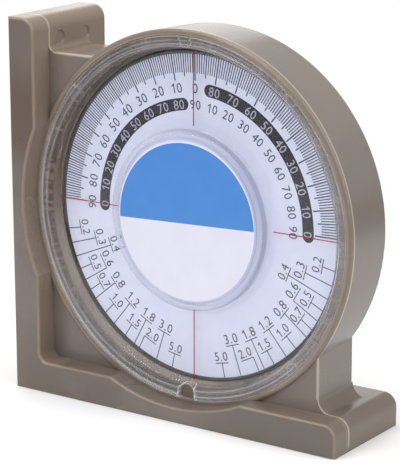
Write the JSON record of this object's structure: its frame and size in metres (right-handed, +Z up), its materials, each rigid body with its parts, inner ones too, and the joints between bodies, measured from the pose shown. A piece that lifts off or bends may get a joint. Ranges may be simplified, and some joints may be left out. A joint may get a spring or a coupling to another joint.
{
  "type": "inclinometer",
  "caption": "Pendulum inclinometer: an L-shaped magnetic frame moulded with a round case, a clear lens with cursor lines and a weighted dial that always hangs upright.",
  "frame": {"origin": "centre of the bounding box's bottom face, on the plane the base stands on", "axes": "+Z up, +X from the vertical leg towards the case, the dial faces -Y"},
  "size_m": [0.1028, 0.0318, 0.1029],
  "materials": {
    "body_plastic": "glossy taupe moulded ABS",
    "lens_plastic": "clear polished acrylic",
    "label_print": "printed label, blue above and off-white below",
    "cursor_paint": "red paint",
    "dial_print": "white card printed with black scales",
    "dial_plastic": "black moulded plastic",
    "brass": "turned brass",
    "steel": "plain steel",
    "washer_plastic": "natural nylon",
    "magnet": "ground ferrite"
  },
  "bodies": {
    "housing": {"housing_body": "body_plastic", "lens_cover": "lens_plastic", "centre_label": "label_print", "cursor_lines": "cursor_paint", "pivot_pin": "steel", "retaining_clip": "steel", "front_washer": "washer_plastic", "rear_washer": "washer_plastic", "base_magnet_1": "magnet", "base_magnet_2": "magnet", "base_magnet_3": "magnet", "base_magnet_4": "magnet", "backing_disc_1": "steel", "backing_disc_2": "steel", "backing_disc_3": "steel", "backing_disc_4": "steel"},
    "dial": {"dial_card": "dial_print", "dial_carrier": "dial_plastic", "pivot_bush": "brass", "counterweight": "steel", "counterweight_rivets": "steel"}
  },
  "joints": [
    {"name": "dial_swing", "type": "hinge", "parent": "housing", "child": "dial", "pos_m": [0.0015, 0, 0.053], "axis": [0, -1, 0], "continuous": true}
  ]
}
